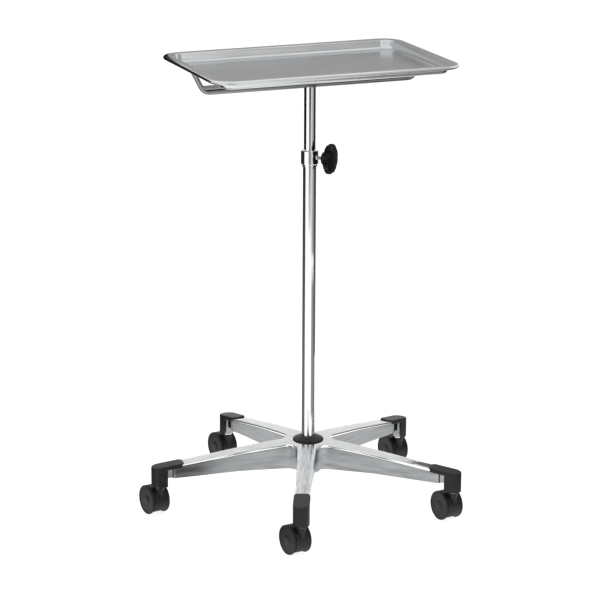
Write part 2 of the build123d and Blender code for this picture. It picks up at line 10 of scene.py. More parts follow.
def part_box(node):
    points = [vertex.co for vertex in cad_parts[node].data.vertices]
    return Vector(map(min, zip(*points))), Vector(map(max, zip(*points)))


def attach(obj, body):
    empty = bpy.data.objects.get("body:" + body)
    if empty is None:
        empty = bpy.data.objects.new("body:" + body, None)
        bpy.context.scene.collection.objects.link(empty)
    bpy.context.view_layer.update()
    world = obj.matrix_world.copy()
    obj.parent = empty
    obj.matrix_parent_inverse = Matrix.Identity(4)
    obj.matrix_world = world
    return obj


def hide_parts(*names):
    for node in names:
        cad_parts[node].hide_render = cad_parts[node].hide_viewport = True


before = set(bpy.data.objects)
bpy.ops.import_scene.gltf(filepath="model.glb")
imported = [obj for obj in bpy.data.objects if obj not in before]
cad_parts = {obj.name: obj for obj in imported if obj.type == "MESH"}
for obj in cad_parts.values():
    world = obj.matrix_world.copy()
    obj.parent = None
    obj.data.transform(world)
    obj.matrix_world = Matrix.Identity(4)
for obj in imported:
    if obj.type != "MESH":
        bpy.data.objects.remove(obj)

LOG = logging.getLogger("instrument_stand")
MILLIMETRE = 0.001
LEG_NUMBERS = (1, 2, 3, 4, 5)
JOINED_CORNER_MM = 0.002
BEVEL_ANGLE = 50.0


def linear(hex_colour: str) -> tuple[float, float, float, float]:
    """Turn an sRGB hex colour into linear light.

    Args:
        hex_colour: six hex digits with a leading hash.

    Returns:
        Red, green, blue and a full alpha.
    """
    channels = [int(hex_colour[start:start + 2], 16) / 255 for start in (1, 3, 5)]
    light = [c / 12.92 if c <= 0.04045 else ((c + 0.055) / 1.055) ** 2.4 for c in channels]
    return (light[0], light[1], light[2], 1.0)


def add_node(
    tree: bpy.types.NodeTree,
    kind: str,
    inputs: dict[str | int, object] | None = None,
    **settings: object,
) -> bpy.types.Node:
    """Add a shader node with its settings, values and links.

    Args:
        tree: node tree that takes the node.
        kind: Blender's name of the node type.
        inputs: socket name or number to a value or to an output socket.
        **settings: properties of the node itself.

    Returns:
        The new node.
    """
    node = tree.nodes.new(kind)
    for name, value in settings.items():
        setattr(node, name, value)
    for socket, value in (inputs or {}).items():
        if isinstance(value, bpy.types.NodeSocket):
            tree.links.new(value, node.inputs[socket])
        else:
            node.inputs[socket].default_value = value
    return node


@dataclass(frozen=True)
class Finish:
    """A material with one even colour, the base of every finish of the stand."""

    name: str
    colour: str
    metallic: float
    roughness: float
    mirror_level: float = 0.5

    def material(self) -> bpy.types.Material:
        """Build the material, with its pattern nodes.

        Returns:
            The finished material.
        """
        made = bpy.data.materials.new(self.name)
        made.use_nodes = True
        tree = made.node_tree
        tree.nodes.clear()
        shader = add_node(
            tree,
            "ShaderNodeBsdfPrincipled",
            {
                "Base Color": linear(self.colour),
                "Metallic": self.metallic,
                "Roughness": self.roughness,
                "Specular IOR Level": self.mirror_level,
            },
        )
        add_node(tree, "ShaderNodeOutputMaterial", {"Surface": shader.outputs["BSDF"]})
        self.texture(tree, shader)
        return made

    def texture(self, tree: bpy.types.NodeTree, shader: bpy.types.Node) -> None:
        """Leave the surface even; each finish adds its own pattern here.

        Args:
            tree: node tree of the material.
            shader: the shader that the pattern drives.
        """

    def reckon(self, tree: bpy.types.NodeTree, operation: str, *values: object) -> bpy.types.NodeSocket:
        """Add one step of arithmetic.

        Args:
            tree: node tree of the material.
            operation: Blender's name of the operation.
            *values: numbers or output sockets, in their order.

        Returns:
            The result.
        """
        node = add_node(tree, "ShaderNodeMath", dict(enumerate(values)), operation=operation)
        return node.outputs[0]

    def ramp(
        self,
        tree: bpy.types.NodeTree,
        value: bpy.types.NodeSocket,
        start: float,
        end: float,
        rising: bool,
        kind: str = "LINEAR",
    ) -> bpy.types.NodeSocket:
        """Add a ramp between 0 and 1 over a stretch of a value.

        Args:
            tree: node tree of the material.
            value: the value that drives the ramp.
            start: value where the ramp starts.
            end: value where it ends.
            rising: True from 0 to 1, False from 1 to 0.
            kind: Blender's name of the ramp's curve.

        Returns:
            The ramp's result.
        """
        low, high = (0.0, 1.0) if rising else (1.0, 0.0)
        node = add_node(
            tree,
            "ShaderNodeMapRange",
            {"Value": value, "From Min": start, "From Max": end, "To Min": low, "To Max": high},
            interpolation_type=kind,
        )
        return node.outputs["Result"]

    def grain(
        self,
        tree: bpy.types.NodeTree,
        spacing_mm: tuple[float, float, float],
        detail: float = 2.0,
        place: bpy.types.NodeSocket | None = None,
    ) -> bpy.types.NodeSocket:
        """Add a noise whose patches have a real size along each axis.

        Args:
            tree: node tree of the material.
            spacing_mm: size of one patch along X, Y and Z.
            detail: octaves of the noise.
            place: coordinates in metres, the object's own when left out.

        Returns:
            The noise value, from 0 to 1.
        """
        if place is None:
            place = add_node(tree, "ShaderNodeTexCoord").outputs["Object"]
        scale = tuple(1 / (size * MILLIMETRE) for size in spacing_mm)
        mapping = add_node(tree, "ShaderNodeMapping", {"Vector": place, "Scale": scale})
        noise = add_node(
            tree,
            "ShaderNodeTexNoise",
            {"Vector": mapping.outputs["Vector"], "Scale": 1.0, "Detail": detail, "Roughness": 0.55},
        )
        return noise.outputs["Fac"]

    def spread(
        self,
        tree: bpy.types.NodeTree,
        value: bpy.types.NodeSocket,
        low: float,
        high: float,
    ) -> bpy.types.NodeSocket:
        """Stretch the middle of a noise over a range of values.

        Args:
            tree: node tree of the material.
            value: noise socket.
            low: result for the dark patches.
            high: result for the light patches.

        Returns:
            The stretched value.
        """
        node = add_node(
            tree,
            "ShaderNodeMapRange",
            {"Value": value, "From Min": 0.3, "From Max": 0.7, "To Min": low, "To Max": high},
        )
        return node.outputs["Result"]

    def relief(
        self,
        tree: bpy.types.NodeTree,
        shader: bpy.types.Node,
        height: bpy.types.NodeSocket,
        depth_mm: float,
    ) -> None:
        """Drive the shader's normal with a height pattern of a real depth.

        Args:
            tree: node tree of the material.
            shader: the shader that takes the normal.
            height: the pattern, from 0 to 1.
            depth_mm: depth of the pattern in millimetres.
        """
        bump = add_node(
            tree,
            "ShaderNodeBump",
            {"Height": height, "Distance": depth_mm * MILLIMETRE, "Strength": 1.0},
        )
        tree.links.new(bump.outputs["Normal"], shader.inputs["Normal"])

    def tint(
        self,
        tree: bpy.types.NodeTree,
        shader: bpy.types.Node,
        amount: bpy.types.NodeSocket,
        other: str,
    ) -> None:
        """Drift the base colour towards another one where a pattern is high.

        Args:
            tree: node tree of the material.
            shader: the shader that takes the colour.
            amount: the pattern, from 0 to 1.
            other: hex colour where the pattern is high.
        """
        mix = add_node(
            tree,
            "ShaderNodeMix",
            {0: amount, 6: linear(self.colour), 7: linear(other)},
            data_type="RGBA",
        )
        tree.links.new(mix.outputs[2], shader.inputs["Base Color"])


@dataclass(frozen=True)
class ChromePlate(Finish):
    """Bright chrome on ground steel: mirror stripes, softened by faint lines along the tube."""

    name: str = "bright_chrome_plate"
    colour: str = "#EDEFF1"
    metallic: float = 1.0
    roughness: float = 0.07
    line_spacing_mm: float = 1.1
    line_length_mm: float = 70.0
    line_depth_mm: float = 0.004
    smear_mm: float = 38.0

    def texture(self, tree: bpy.types.NodeTree, shader: bpy.types.Node) -> None:
        """Polishing lines along Z and wiped patches that are a little duller.

        Args:
            tree: node tree of the material.
            shader: the shader that the pattern drives.
        """
        lines = self.grain(tree, (self.line_spacing_mm, self.line_spacing_mm, self.line_length_mm))
        self.relief(tree, shader, lines, self.line_depth_mm)
        smear = self.grain(tree, (self.smear_mm, self.smear_mm, self.smear_mm), detail=4.0)
        rough = self.spread(tree, smear, self.roughness - 0.02, self.roughness + 0.05)
        tree.links.new(rough, shader.inputs["Roughness"])


@dataclass(frozen=True)
class SatinStainless(Finish):
    """Pressed stainless sheet, finished with fine abrasive along the tray: soft, streaked reflections."""

    name: str = "satin_stainless_sheet"
    colour: str = "#DFE0E1"
    metallic: float = 1.0
    roughness: float = 0.2
    line_spacing_mm: float = 1.3
    line_length_mm: float = 90.0
    line_depth_mm: float = 0.01
    cloud_mm: float = 60.0
    streak_mm: float = 3.4
    streak_length_mm: float = 140.0

    def texture(self, tree: bpy.types.NodeTree, shader: bpy.types.Node) -> None:
        """Lines along the sheet, drawn coarser than the real grit so that they show, and cloudy wear.

        Args:
            tree: node tree of the material.
            shader: the shader that the pattern drives.
        """
        sheet = add_node(tree, "ShaderNodeUVMap", uv_map="along_sheet").outputs["UV"]
        lines = self.grain(tree, (self.line_length_mm, self.line_spacing_mm, 1.0), detail=3.0, place=sheet)
        self.relief(tree, shader, lines, self.line_depth_mm)
        clouds = self.grain(tree, (self.cloud_mm, self.cloud_mm, self.cloud_mm), detail=4.0)
        rough = self.spread(tree, clouds, self.roughness - 0.04, self.roughness + 0.05)
        tree.links.new(rough, shader.inputs["Roughness"])
        streaks = self.grain(tree, (self.streak_length_mm, self.streak_mm, 1.0), detail=4.0, place=sheet)
        self.tint(tree, shader, self.spread(tree, streaks, 0.0, 0.6), "#A9ACAE")


@dataclass(frozen=True)
class CastAluminium(Finish):
    """Cast aluminium: upper faces belt polished along the legs to a streaked mirror, sides left as cast."""

    name: str = "polished_cast_aluminium"
    colour: str = "#E4E5E6"
    metallic: float = 1.0
    roughness: float = 0.11
    worn_colour: str = "#B4B6B8"
    side_colour: str = "#8A8C8D"
    side_light: str = "#B2B4B6"
    side_roughness: float = 0.34
    top_normal: tuple[float, float] = (0.3, 0.6)
    flange_mm: float = 4.5
    flange_blur_mm: float = 0.3
    # The next three settings paint shade: a dark band on the side wall just below the flange's overhang,
    # where its shadow falls.
    flange_shadow_gap_mm: float = 0.4
    flange_shadow_mm: float = 2.4
    flange_shadow_colour: str = "#1C1D1E"
    # Near-white colour for the flange's vertical face: a painted highlight along the flange edge.
    flange_highlight_colour: str = "#F7F8F9"
    crown_mm: tuple[float, float] = (140.0, 117.0)
    inner_slope: float = 0.101
    outer_slope: float = 0.136
    skin_mm: float = 2.2
    skin_depth_mm: float = 0.05
    streak_mm: tuple[float, float, float] = (85.0, 2.6, 4.0)
    draw_mm: tuple[float, float, float] = (70.0, 60.0, 8.0)
    polish_depth_mm: float = 0.002
    leg_reach_mm: float = 170.0

    def along_legs(self, tree: bpy.types.NodeTree) -> bpy.types.NodeSocket:
        """Add coordinates that run out along every leg, round the post and up.

        Args:
            tree: node tree of the material.

        Returns:
            A vector in metres: distance from the post, arc round it and height.
        """
        place = add_node(tree, "ShaderNodeTexCoord").outputs["Object"]
        parts = add_node(tree, "ShaderNodeSeparateXYZ", {"Vector": place})
        across, depth, height = (parts.outputs[axis] for axis in "XYZ")
        turn = self.reckon(tree, "ARCTAN2", depth, across)
        arc = self.reckon(tree, "MULTIPLY", turn, self.leg_reach_mm * MILLIMETRE)
        flat = add_node(tree, "ShaderNodeCombineXYZ", {"X": across, "Y": depth}).outputs[0]
        reach = add_node(tree, "ShaderNodeVectorMath", {0: flat}, operation="LENGTH").outputs["Value"]
        return add_node(tree, "ShaderNodeCombineXYZ", {"X": reach, "Y": arc, "Z": height}).outputs[0]

    def depth_below_top(self, tree: bpy.types.NodeTree, leg: bpy.types.NodeSocket) -> bpy.types.NodeSocket:
        """Add the distance below the arched upper line of the legs.

        Args:
            tree: node tree of the material.
            leg: coordinates along the legs.

        Returns:
            The distance in millimetres.
        """
        parts = add_node(tree, "ShaderNodeSeparateXYZ", {"Vector": leg})
        reach, top = (size * MILLIMETRE for size in self.crown_mm)
        inwards = self.reckon(tree, "SUBTRACT", reach, parts.outputs["X"])
        inner_line = self.reckon(tree, "MULTIPLY_ADD", inwards, self.inner_slope, top)
        outer_line = self.reckon(tree, "MULTIPLY_ADD", inwards, self.outer_slope, top)
        line = self.reckon(tree, "MINIMUM", inner_line, outer_line)
        drop = self.reckon(tree, "SUBTRACT", line, parts.outputs["Z"])
        return self.reckon(tree, "MULTIPLY", drop, 1 / MILLIMETRE)

    def blend(
        self,
        tree: bpy.types.NodeTree,
        share: bpy.types.NodeSocket,
        low: object,
        high: object,
        kind: str = "RGBA",
    ) -> bpy.types.NodeSocket:
        """Mix two colours or two values by a share.

        Args:
            tree: node tree of the material.
            share: 0 for the first, 1 for the second.
            low: the first colour or value.
            high: the second one.
            kind: RGBA for colours, FLOAT for values.

        Returns:
            The mixed colour or value.
        """
        ports = (6, 7, 2) if kind == "RGBA" else (2, 3, 0)
        node = add_node(tree, "ShaderNodeMix", {0: share, ports[0]: low, ports[1]: high}, data_type=kind)
        return node.outputs[ports[2]]

    def texture(self, tree: bpy.types.NodeTree, shader: bpy.types.Node) -> None:
        """Polished upper faces, flange edges in a near-white painted highlight, dull sides, and a dark line
        of painted shade in the corner between them.

        Args:
            tree: node tree of the material.
            shader: the shader that the pattern drives.
        """
        facing = add_node(tree, "ShaderNodeNewGeometry")
        parts = add_node(tree, "ShaderNodeSeparateXYZ", {"Vector": facing.outputs["True Normal"]})
        upward = self.ramp(tree, parts.outputs["Z"], *self.top_normal, True, "SMOOTHSTEP")
        leg = self.along_legs(tree)
        depth = self.depth_below_top(tree, leg)
        flange = self.ramp(tree, depth, self.flange_mm, self.flange_mm + self.flange_blur_mm, False)
        corner = self.flange_mm + self.flange_shadow_gap_mm
        # Painted shade: the side wall turns dark in a band just below the flange.
        flange_shadow = self.ramp(tree, depth, corner, self.flange_mm + self.flange_shadow_mm, False)
        top = self.reckon(tree, "MAXIMUM", upward, flange)
        streaks = self.grain(tree, self.streak_mm, detail=5.0, place=leg)
        drawn = self.grain(tree, self.draw_mm, detail=4.0, place=leg)
        worn = self.spread(tree, streaks, 0.0, 1.0)
        lighter = self.spread(tree, drawn, 0.0, 1.0)
        polished = self.blend(tree, worn, linear(self.colour), linear(self.worn_colour))
        # Where the face is not upward, inside the flange band, it takes the near-white painted highlight
        # colour.
        bright = self.blend(tree, upward, linear(self.flange_highlight_colour), polished)
        cast = self.blend(tree, lighter, linear(self.side_colour), linear(self.side_light))
        dull = self.blend(tree, flange_shadow, cast, linear(self.flange_shadow_colour))
        tree.links.new(self.blend(tree, top, dull, bright), shader.inputs["Base Color"])
        top_rough = self.spread(tree, streaks, self.roughness - 0.03, self.roughness + 0.04)
        side_rough = self.spread(tree, drawn, self.side_roughness - 0.08, self.side_roughness + 0.1)
        tree.links.new(self.blend(tree, top, side_rough, top_rough, "FLOAT"), shader.inputs["Roughness"])
        skin = self.grain(tree, (self.skin_mm, self.skin_mm, self.skin_mm), detail=6.0)
        fine = self.reckon(tree, "MULTIPLY", streaks, self.polish_depth_mm / self.skin_depth_mm)
        self.relief(tree, shader, self.blend(tree, top, skin, fine, "FLOAT"), self.skin_depth_mm)


@dataclass(frozen=True)
class MouldedNylon(Finish):
    """Injection moulded nylon with a spark-eroded skin: deep black with soft, wide highlights."""

    name: str = "moulded_black_nylon"
    colour: str = "#121213"
    metallic: float = 0.0
    roughness: float = 0.42
    mirror_level: float = 0.32
    pebble_mm: float = 0.9
    pebble_depth_mm: float = 0.03
    wear_mm: float = 16.0
    worn_colour: str = "#1E1E1F"

    def texture(self, tree: bpy.types.NodeTree, shader: bpy.types.Node) -> None:
        """Fine pebble relief, drawn coarser than the real one, and slow patches of wear.

        Args:
            tree: node tree of the material.
            shader: the shader that the pattern drives.
        """
        pebble = self.grain(tree, (self.pebble_mm, self.pebble_mm, self.pebble_mm), detail=3.0)
        self.relief(tree, shader, pebble, self.pebble_depth_mm)
        wear = self.grain(tree, (self.wear_mm, self.wear_mm, self.wear_mm), detail=4.0)
        self.tint(tree, shader, self.spread(tree, wear, 0.0, 0.7), self.worn_colour)
        rough = self.spread(tree, wear, self.roughness - 0.05, self.roughness + 0.08)
        tree.links.new(rough, shader.inputs["Roughness"])


@dataclass(frozen=True)
class ZincedSteel(Finish):
    """Turned steel with bright zinc: pale, with fine turning rings across Z."""

    name: str = "zinc_plated_steel"
    colour: str = "#D9DCDF"
    metallic: float = 1.0
    roughness: float = 0.2
    ring_mm: float = 0.7
    ring_length_mm: float = 14.0
    ring_depth_mm: float = 0.006
    cloud_mm: float = 7.0

    def texture(self, tree: bpy.types.NodeTree, shader: bpy.types.Node) -> None:
        """Turning rings and a faint cloudiness of the plating.

        Args:
            tree: node tree of the material.
            shader: the shader that the pattern drives.
        """
        rings = self.grain(tree, (self.ring_length_mm, self.ring_length_mm, self.ring_mm))
        self.relief(tree, shader, rings, self.ring_depth_mm)
        cloud = self.grain(tree, (self.cloud_mm, self.cloud_mm, self.cloud_mm), detail=4.0)
        rough = self.spread(tree, cloud, self.roughness - 0.05, self.roughness + 0.1)
        tree.links.new(rough, shader.inputs["Roughness"])


class Stock(Enum):
    """The finishes of the stand, one for each kind of stock that it is made from."""

    TRAY_SHEET = SatinStainless()
    CHROME = ChromePlate()
    # Darker copy of the same chrome for the rods and welds under the tray: painted shade standing in for
    # their reflection of the tray's dark underside.
    FRAME_ROD = ChromePlate(name="chrome_rod_painted_shade", colour="#8E9092", roughness=0.15)
    CASTING = CastAluminium()
    BLACK_NYLON = MouldedNylon()
    KNOB_PHENOLIC = MouldedNylon(
        name="moulded_black_phenolic",
        colour="#060607",
        roughness=0.3,
        mirror_level=0.16,
        pebble_depth_mm=0.01,
        worn_colour="#0D0D0E",
    )
    WHEEL_NYLON = MouldedNylon(
        name="moulded_wheel_nylon", colour="#171718", roughness=0.5, worn_colour="#222223"
    )
    NATURAL_NYLON = MouldedNylon(
        name="natural_nylon", colour="#E2DCCB", roughness=0.4, worn_colour="#D3CCB8"
    )
    ZINC = ZincedSteel()
    BRASS = ZincedSteel(name="turned_brass", colour="#C9A45C", roughness=0.25)


class Workshop:
    """Keeps one copy of each material and gives it to nodes and new pieces."""

    def __init__(self) -> None:
        """Start with no material built."""
        self.made: dict[Stock, bpy.types.Material] = {}

    def material(self, stock: Stock) -> bpy.types.Material:
        """Find the material of a stock, built the first time it is asked for.

        Args:
            stock: what the piece is made from.

        Returns:
            The material.
        """
        if stock not in self.made:
            self.made[stock] = stock.value.material()
        return self.made[stock]

    def dress(
        self, node: str, stock: Stock, crease: float = 30.0, edge_mm: float = 0.0
    ) -> bpy.types.Object:
        """Give a CAD node its material and soft shading between its facets.

        Args:
            node: name of the CAD node.
            stock: what the piece is made from.
            crease: angle in degrees above which an edge stays sharp.
            edge_mm: width of the worn or polished edges, 0 where they stay crisp.

        Returns:
            The dressed object.
        """
        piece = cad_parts[node]
        piece.data.materials.clear()
        piece.data.materials.append(self.material(stock))
        self.soften(piece, crease, edge_mm)
        LOG.info("dressed %s as %s", node, stock.value.name)
        return piece

    def soften(self, piece: bpy.types.Object, crease: float, edge_mm: float = 0.0) -> None:
        """Join doubled corners and shade smooth, with edges above the crease kept sharp.

        Args:
            piece: the object.
            crease: angle in degrees above which an edge stays sharp.
            edge_mm: width of the rounded edges, 0 where they stay crisp.
        """
        piece.data.shade_smooth()
        weld = piece.modifiers.new("joined_corners", "WELD")
        weld.merge_threshold = JOINED_CORNER_MM * MILLIMETRE
        if edge_mm > 0:
            bevel = piece.modifiers.new("rounded_edges", "BEVEL")
            bevel.width = edge_mm * MILLIMETRE
            bevel.segments = 2
            bevel.limit_method = "ANGLE"
            bevel.angle_limit = math.radians(BEVEL_ANGLE)
        split = piece.modifiers.new("kept_creases", "EDGE_SPLIT")
        split.use_edge_angle = True
        split.split_angle = math.radians(crease)

    def add_piece(
        self,
        name: str,
        corners: list[tuple[float, float, float]],
        faces: list[tuple[int, ...]],
        stock: Stock,
        body: str,
        slot: str,
    ) -> bpy.types.Object:
        """Make a new smooth piece that rides on a body of the stand.

        Args:
            name: name of the piece.
            corners: its points, in metres.
            faces: its faces, as numbers of points.
            stock: what it is made from.
            body: the body that it moves with.
            slot: the record's material slot; not used.

        Returns:
            The new piece.
        """
        mesh = bpy.data.meshes.new(name)
        mesh.from_pydata(corners, [], faces)
        mesh.shade_smooth()
        piece = bpy.data.objects.new(name, mesh)
        bpy.context.scene.collection.objects.link(piece)
        mesh.materials.append(self.material(stock))
        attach(piece, body)
        LOG.info("made %s on %s", name, body)
        return piece


@dataclass
class TraySheet:
    """The pressed tray: rolled edge, slightly crowned rim, flared walls and flat floor."""

    workshop: Workshop
    rim_width: float = 19.3
    curl_radius: float = 3.2
    crown_tilt: float = 12.0
    bend_radius: float = 2.4
    flare: float = 14.0
    floor_bend: float = 8.1
    sheet: float = 0.9
    corner_radius: float = 42.0
    corner_steps: int = 20

    def arc(
        self, centre: tuple[float, float], radius: float, start: float, end: float, steps: int
    ) -> list[tuple[float, float]]:
        """Lay points on a round stretch of the section.

        Args:
            centre: centre of the arc, as distance in from the edge and height.
            radius: its radius in millimetres.
            start: first angle in degrees.
            end: last angle in degrees.
            steps: number of steps between them.

        Returns:
            The points, first and last included.
        """
        points = []
        for step in range(steps + 1):
            angle = math.radians(start + (end - start) * step / steps)
            points.append((centre[0] + radius * math.cos(angle), centre[1] + radius * math.sin(angle)))
        return points

    def section(self, depth: float) -> list[tuple[float, float]]:
        """Draw the upper face of the sheet from the curl to the floor.

        Args:
            depth: depth of the tray in millimetres.

        Returns:
            Points as distance in from the edge and height above the rim.
        """
        tilt = math.radians(self.crown_tilt)
        flare = math.radians(self.flare)
        curl = self.curl_radius
        bend = self.bend_radius
        half_crown = (self.rim_width - curl + curl * math.sin(tilt) - bend) / 2
        crown = half_crown / math.sin(tilt)
        fall = crown * (1 - math.cos(tilt))
        middle = curl - curl * math.sin(tilt) + half_crown
        curl_centre = (curl, -fall - curl * math.cos(tilt))
        bend_centre = (middle + half_crown - bend * math.sin(tilt), -fall - bend * math.cos(tilt))
        points = self.arc(curl_centre, curl, -60.0 + 360.0, 90.0 + self.crown_tilt, 14)
        points += self.arc((middle, -crown), crown, 90.0 + self.crown_tilt, 90.0 - self.crown_tilt, 8)[1:]
        points += self.arc(bend_centre, bend, 90.0 - self.crown_tilt, self.flare, 6)[1:]
        level = self.sheet - depth + self.floor_bend
        wall_top = points[-1]
        drop = wall_top[1] - (level - self.floor_bend * math.sin(flare))
        wall_foot = wall_top[0] + drop * math.tan(flare)
        for share in (0.33, 0.66):
            points.append((wall_top[0] + share * (wall_foot - wall_top[0]), wall_top[1] - share * drop))
        floor_centre = (wall_foot + self.floor_bend * math.cos(flare), level)
        points += self.arc(floor_centre, self.floor_bend, 180.0 + self.flare, 270.0, 10)
        points.append((points[-1][0] + 1.0, points[-1][1]))
        return points

    def outline(self, half_length: float, half_width: float, inset: float) -> list[tuple[float, float]]:
        """Lay the points of the rounded rectangle at an inset from the rim.

        Args:
            half_length: half the length of the tray in millimetres.
            half_width: half its width in millimetres.
            inset: distance in from the rim's outer edge in millimetres.

        Returns:
            The points, once round the tray.
        """
        radius = self.corner_radius - inset
        corners = ((1, 1, 0.0), (-1, 1, 90.0), (-1, -1, 180.0), (1, -1, 270.0))
        points = []
        for side_x, side_y, start in corners:
            centre_x = side_x * (half_length - self.corner_radius)
            centre_y = side_y * (half_width - self.corner_radius)
            for step in range(self.corner_steps + 1):
                angle = math.radians(start + 90.0 * step / self.corner_steps)
                points.append((centre_x + radius * math.cos(angle), centre_y + radius * math.sin(angle)))
        return points

    def build(self) -> bpy.types.Object:
        """Sweep the section round the outline and close the floor.

        Returns:
            The tray, in place of the plain CAD tray.
        """
        low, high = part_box("instrument_tray")
        half_length = high.x / MILLIMETRE
        half_width = high.y / MILLIMETRE
        section = self.section((high.z - low.z) / MILLIMETRE)
        corners = []
        places = []
        across = 0.0
        previous = section[0]
        for inset, height in section:
            across += math.dist(previous, (inset, height))
            previous = (inset, height)
            along = 0.0
            before = None
            for x, y in self.outline(half_length, half_width, inset):
                guide = self.outline_step(before, (x, y))
                along += guide
                before = (x, y)
                corners.append((x * MILLIMETRE, y * MILLIMETRE, high.z + height * MILLIMETRE))
                places.append((along * MILLIMETRE, across * MILLIMETRE))
        ring = len(corners) // len(section)
        faces = []
        for row in range(len(section) - 1):
            for step in range(ring):
                here = row * ring + step
                after = row * ring + (step + 1) % ring
                faces.append((here, after, after + ring, here + ring))
        floor = tuple(range((len(section) - 1) * ring, len(section) * ring))
        faces.append(floor)
        tray = self.workshop.add_piece(
            "pressed_tray", corners, faces, Stock.TRAY_SHEET, "tray", "stainless_sheet"
        )
        self.lay_grain(tray.data, places, ring)
        plate = tray.modifiers.new("sheet_thickness", "SOLIDIFY")
        plate.thickness = self.sheet * MILLIMETRE
        plate.offset = -1.0
        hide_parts("instrument_tray")
        return tray

    def outline_step(
        self, before: tuple[float, float] | None, here: tuple[float, float]
    ) -> float:
        """Measure the step from the point before.

        Args:
            before: the point before, or None at the start.
            here: the point itself.

        Returns:
            The distance, 0 at the start.
        """
        return 0.0 if before is None else math.dist(before, here)

    def lay_grain(self, mesh: bpy.types.Mesh, places: list[tuple[float, float]], ring: int) -> None:
        """Run the grain along the rim on the walls and along X on the floor.

        Args:
            mesh: the swept sheet; its last face is the floor.
            places: distance along the rim and across the section of each point, in metres.
            ring: number of points in one turn round the tray.
        """
        layer = mesh.uv_layers.new(name="along_sheet")
        spots = mesh.vertices
        for face in mesh.polygons:
            closing = face.index % ring == ring - 1
            for loop in face.loop_indices:
                corner = mesh.loops[loop].vertex_index
                if len(face.vertices) > 4:
                    layer.data[loop].uv = (spots[corner].co.x, spots[corner].co.y)
                elif closing and corner % ring == 0:
                    last = corner + ring - 1
                    along = places[last][0] + (spots[corner].co - spots[last].co).length
                    layer.data[loop].uv = (along, places[corner][1])
                else:
                    layer.data[loop].uv = places[corner]


@dataclass
class WeldBead:
    """A rippled bead of weld round a rod or a tube."""

    name: str
    centre: Vector
    direction: Vector
    ring_radius: float
    bead_radius: float
    ripples: int = 22
    steps: int = 88
    sides: int = 10

    def build(self, workshop: Workshop) -> bpy.types.Object:
        """Lay the bead, its middle at the centre and its axis along the direction.

        Args:
            workshop: the workshop that makes the piece.

        Returns:
            The bead.
        """
        turn = self.direction.to_track_quat("Z", "X")
        corners = []
        for step in range(self.steps):
            angle = math.tau * step / self.steps
            swell = 1.0 + 0.16 * abs(math.sin(self.ripples * angle / 2))
            for side in range(self.sides):
                roll = math.tau * side / self.sides
                reach = self.ring_radius + self.bead_radius * swell * math.cos(roll)
                lift = self.bead_radius * swell * math.sin(roll)
                spot = Vector((reach * math.cos(angle), reach * math.sin(angle), lift)) * MILLIMETRE
                corners.append(tuple(self.centre + turn @ spot))
        faces = []
        for step in range(self.steps):
            after = (step + 1) % self.steps
            for side in range(self.sides):
                beside = (side + 1) % self.sides
                faces.append(
                    (
                        step * self.sides + side,
                        after * self.sides + side,
                        after * self.sides + beside,
                        step * self.sides + beside,
                    )
                )
        return workshop.add_piece(self.name, corners, faces, Stock.FRAME_ROD, "upper", "chromed_steel")


@dataclass
class TrayFrame:
    """Tray, rod loop and spine, with their welds."""

    workshop: Workshop
    arm_slope: float = 62.0
    arm_weld: float = 4.3
    arm_bead: float = 0.9
    weld_inset: float = 1.63
    weld_drop: float = 0.2
    post_weld: float = 10.8
    post_bead: float = 1.5
    post_drop: float = 0.8

    def build(self) -> None:
        """Make the tray, dress its frame and lay the weld beads."""
        TraySheet(self.workshop).build()
        for node in ("tray_support_loop", "tray_spine_rod", "tray_spine_stiffener"):
            self.workshop.dress(node, Stock.FRAME_ROD)
        for bead in self.beads():
            bead.build(self.workshop)

    def beads(self) -> list[WeldBead]:
        """Place one bead round the post and one at the top of each arm.

        Returns:
            The beads, not yet built.
        """
        loop_low, loop_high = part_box("tray_support_loop")
        tube_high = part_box("inner_tube")[1]
        slope = math.radians(self.arm_slope)
        rod_radius = (loop_high.z - loop_low.z) / 2
        found = [
            WeldBead(
                "weld_at_post",
                Vector((0, 0, tube_high.z - self.post_drop * MILLIMETRE)),
                Vector((0, 0, 1)),
                self.post_weld,
                self.post_bead,
            )
        ]
        for side, label in ((-1, "left"), (1, "right")):
            reach = loop_high.x - self.weld_inset * rod_radius
            spot = Vector((side * reach, 0.0, loop_low.z - self.weld_drop * rod_radius))
            lean = Vector((side * math.cos(slope), 0.0, math.sin(slope)))
            bead = WeldBead(f"weld_at_{label}_arm", spot, lean, self.arm_weld, self.arm_bead)
            bead.ripples = 14
            bead.steps = 56
            found.append(bead)
        return found


